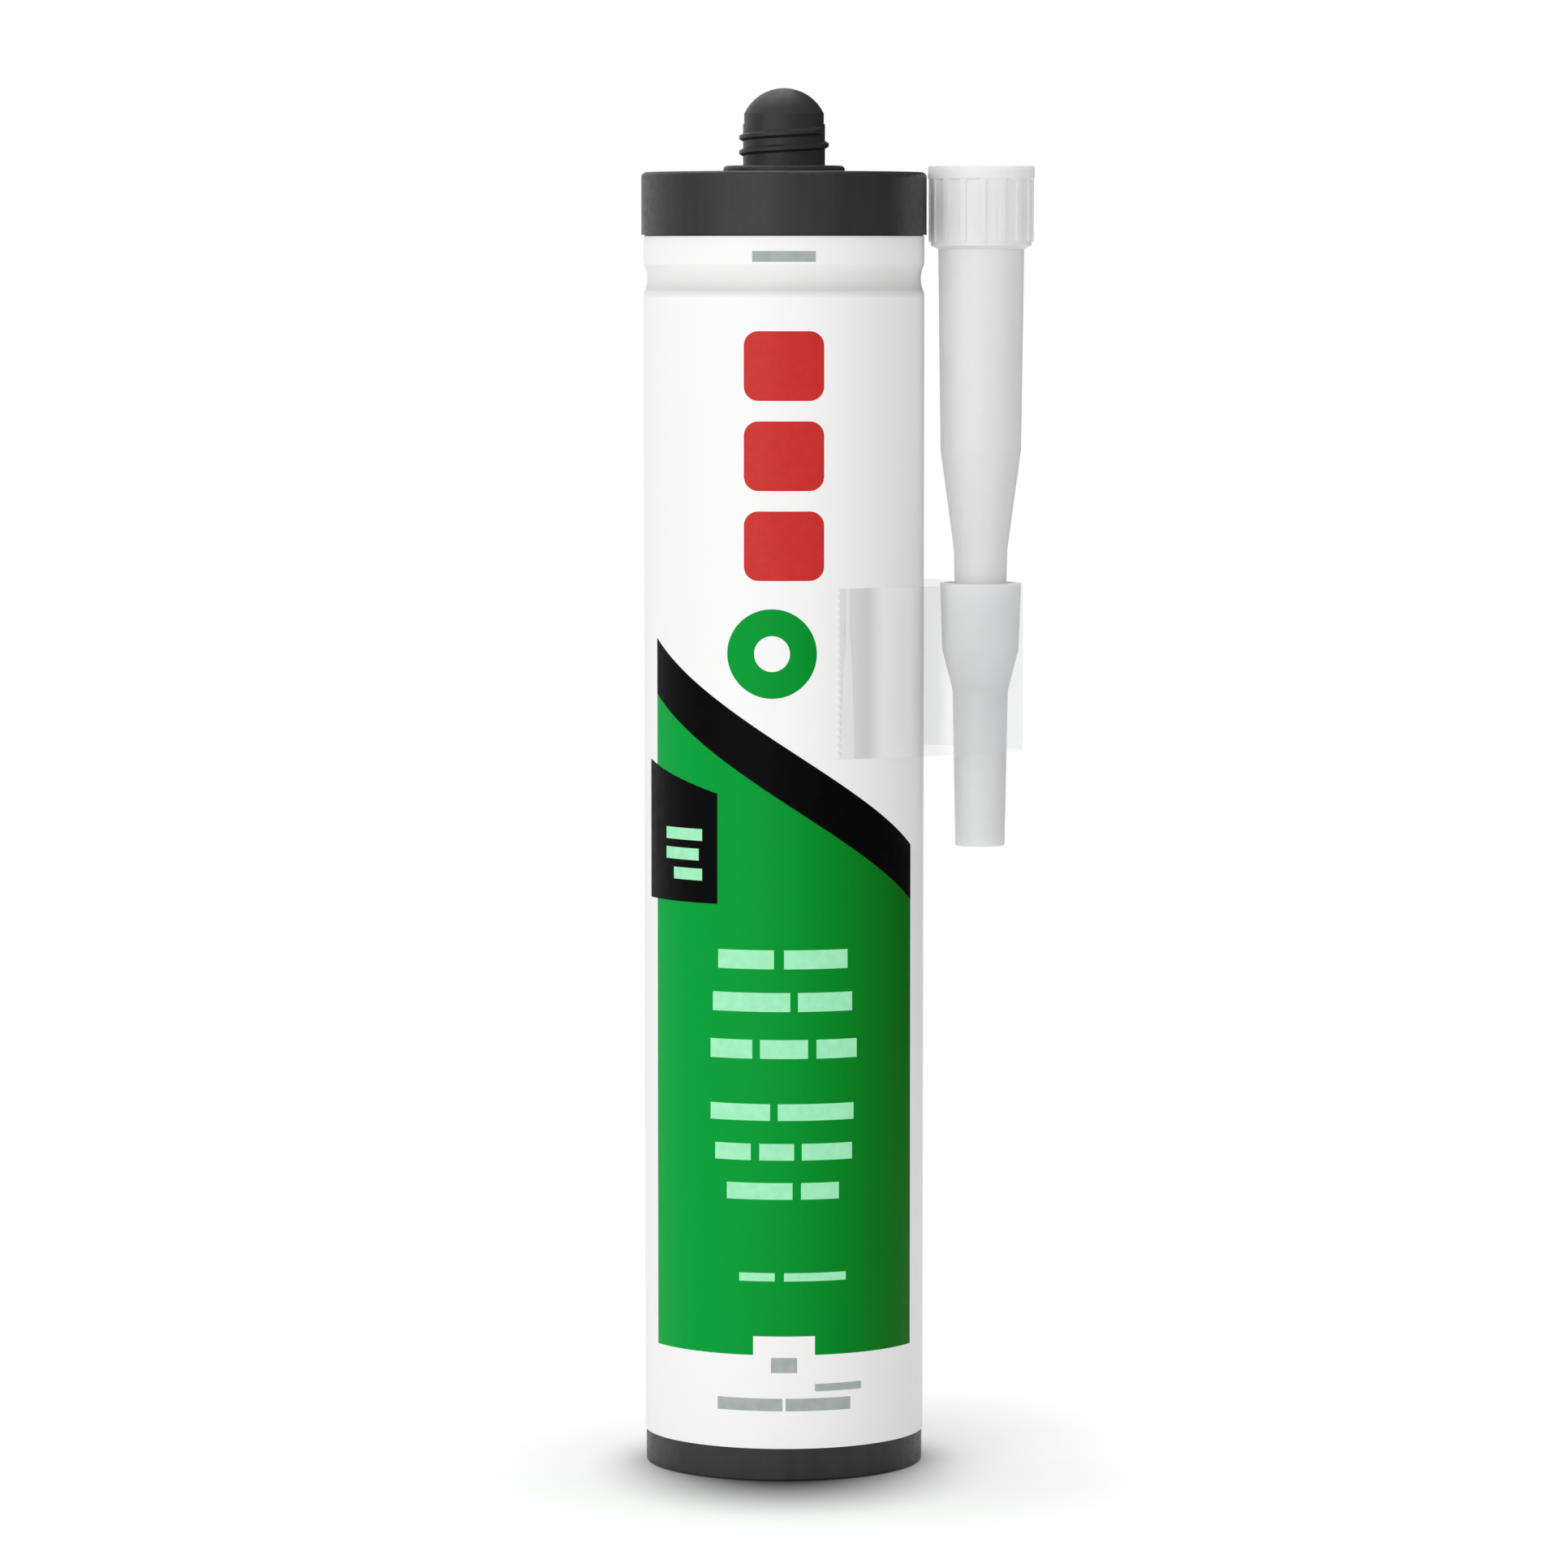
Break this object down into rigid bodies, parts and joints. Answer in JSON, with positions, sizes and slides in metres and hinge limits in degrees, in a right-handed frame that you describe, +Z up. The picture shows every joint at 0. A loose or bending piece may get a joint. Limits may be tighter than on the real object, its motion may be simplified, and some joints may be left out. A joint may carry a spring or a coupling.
{
  "type": "caulk tube",
  "caption": "Sealant cartridge with a closed threaded neck, a printed wrap and a sliding piston behind its filling; the screw-on nozzle is taped to its side, base up.",
  "frame": {"origin": "middle of the open foot, on the barrel's axis, at the level of the foot's edge", "axes": "+Z up along the barrel's axis towards the neck, -Y out of the front of the wrap, +X towards the taped nozzle"},
  "size_m": [0.0667, 0.0484, 0.2342],
  "materials": {
    "cartridge": "satin moulded polyethylene",
    "piston": "satin natural polyethylene",
    "sealant": "smooth paste",
    "label": "satin white film",
    "print_green": "green ink",
    "print_black": "black ink",
    "print_red": "red ink",
    "print_pale": "pale green ink",
    "print_grey": "grey ink",
    "nozzle": "translucent natural polyethylene",
    "nozzle_cap": "translucent natural polyethylene",
    "holding_tape": "clear film"
  },
  "bodies": {
    "barrel": {"cartridge": "cartridge", "sealant": "sealant", "label": "label", "print_green": "print_green", "print_black": "print_black", "print_red": "print_red", "print_pale": "print_pale", "print_grey": "print_grey", "nozzle": "nozzle", "nozzle_cap": "nozzle_cap", "holding_tape": "holding_tape"},
    "piston": {"piston": "piston"}
  },
  "joints": [
    {"name": "piston_slide", "type": "slide", "parent": "barrel", "child": "piston", "axis": [0, 0, 1], "range_m": [0, 0.1856], "deforming": ["sealant"]}
  ]
}
